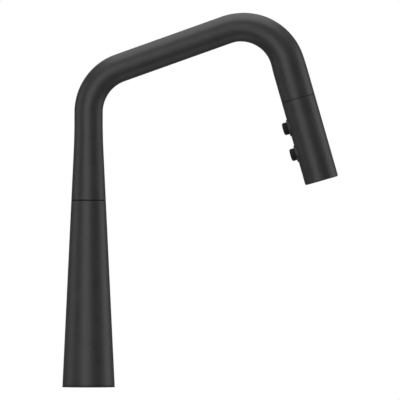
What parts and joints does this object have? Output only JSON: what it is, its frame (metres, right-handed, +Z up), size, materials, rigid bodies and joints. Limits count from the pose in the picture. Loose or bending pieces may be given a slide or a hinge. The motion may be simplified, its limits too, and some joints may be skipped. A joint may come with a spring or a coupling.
{
  "type": "pull down kitchen faucet",
  "caption": "Kitchen faucet with a side lever, a tapered column, an angular swivelling spout and a pull down spray head with push buttons on a hidden hose.",
  "frame": {"origin": "centre of the base, on the deck it stands on", "axes": "+Z up from the deck along the column, +X the way the spout reaches at rest, +Y the side that the lever is on"},
  "size_m": [0.2911, 0.08, 0.3952],
  "materials": {
    "matte_black_coating": "matte",
    "black_rubber": "matte",
    "black_plastic": "satin",
    "dark_acetal": "matte",
    "soft_nozzle": "matte",
    "seal_rubber": "satin",
    "raw_brass": "machined",
    "steel": "machined",
    "white_ceramic": "lapped ceramic",
    "grey_plastic": "moulded",
    "magnet": "nickel plated",
    "braided_hose": "braided nylon"
  },
  "bodies": {
    "column": {"base_gasket": "black_rubber", "mounting_base": "raw_brass", "base_screws": "steel", "support_posts": "steel", "valve_screws": "steel", "body_shell": "matte_black_coating", "valve_body": "raw_brass", "cartridge_sleeve": "raw_brass", "inlet_seals": "seal_rubber", "cartridge_base": "grey_plastic", "fixed_disc": "white_ceramic", "cartridge_housing": "grey_plastic", "cartridge_nut": "raw_brass", "bonnet": "matte_black_coating", "swivel_post": "raw_brass", "post_screws": "steel", "swivel_washer": "dark_acetal", "spout_friction_ring": "seal_rubber", "snap_ring": "steel", "hose_guide": "grey_plastic", "hose_base_run": "braided_hose"},
    "mixer": {"carrier": "grey_plastic", "pivot_pin": "steel"},
    "shut_off_disc": {"moving_disc": "white_ceramic", "disc_driver": "grey_plastic"},
    "lever": {"spindle": "steel", "handle_hub": "matte_black_coating", "lever_rod": "matte_black_coating", "set_screw": "steel", "screw_plug": "black_rubber"},
    "spout": {"spout_tube": "matte_black_coating", "lower_swivel_bush": "grey_plastic", "upper_swivel_bush": "grey_plastic", "dock_sleeve": "grey_plastic", "dock_magnet": "magnet", "hose_spout_run": "braided_hose"},
    "hose_end": {"hose_leg_run": "braided_hose", "hose_ferrule": "steel", "hose_stem": "raw_brass"},
    "spray_head": {"hose_nut": "raw_brass", "hose_washer": "seal_rubber", "head_shell": "matte_black_coating", "head_neck": "dark_acetal", "catch_ring": "steel", "waterway": "grey_plastic", "waterway_seal": "seal_rubber", "check_valve": "grey_plastic", "diffuser_plate": "grey_plastic", "nozzle_pad": "soft_nozzle", "spray_face": "black_plastic", "aerator": "black_plastic", "aerator_screen": "steel", "button_bezels": "black_plastic", "upper_spring": "steel", "lower_spring": "steel"},
    "spray_button": {"upper_button": "black_rubber", "upper_plunger": "grey_plastic"},
    "pause_button": {"lower_button": "black_rubber", "lower_plunger": "grey_plastic"}
  },
  "joints": [
    {"name": "spout_swivel", "type": "hinge", "parent": "column", "child": "spout", "pos_m": [0, 0, 0.1974], "axis": [0, 0, 1], "continuous": true},
    {"name": "temperature_turn", "type": "hinge", "parent": "column", "child": "mixer", "pos_m": [0, 0.0255, 0.092], "axis": [0, 1, 0], "range_deg": [-45, 45]},
    {"name": "lever_tilt", "type": "hinge", "parent": "mixer", "child": "lever", "pos_m": [0, 0.0255, 0.092], "axis": [-1, 0, 0], "range_deg": [0, 25]},
    {"name": "disc_slide", "type": "slide", "parent": "mixer", "child": "shut_off_disc", "axis": [0, 0, 1], "range_m": [0, 0.00393]},
    {"name": "head_pull", "type": "slide", "parent": "spout", "child": "hose_end", "axis": [0.2756, 0, -0.9613], "range_m": [0, 0.45], "stiffness_N_per_m": 6, "springref_m": -0.8, "deforming": ["hose_leg_run"]},
    {"name": "head_spin", "type": "hinge", "parent": "hose_end", "child": "spray_head", "pos_m": [0.22112, 0, 0.30488], "axis": [0.2756, 0, -0.9613], "continuous": true},
    {"name": "spray_button_press", "type": "slide", "parent": "spray_head", "child": "spray_button", "axis": [0.9613, 0, 0.2756], "range_m": [0, 0.0018], "stiffness_N_per_m": 900, "springref_m": -0.001, "deforming": ["upper_spring"]},
    {"name": "pause_button_press", "type": "slide", "parent": "spray_head", "child": "pause_button", "axis": [0.9613, 0, 0.2756], "range_m": [0, 0.0018], "stiffness_N_per_m": 900, "springref_m": -0.001, "deforming": ["lower_spring"]}
  ],
  "couplings": [
    {"joint": "disc_slide", "follows": "lever_tilt", "m_per_rad": 0.009}
  ]
}
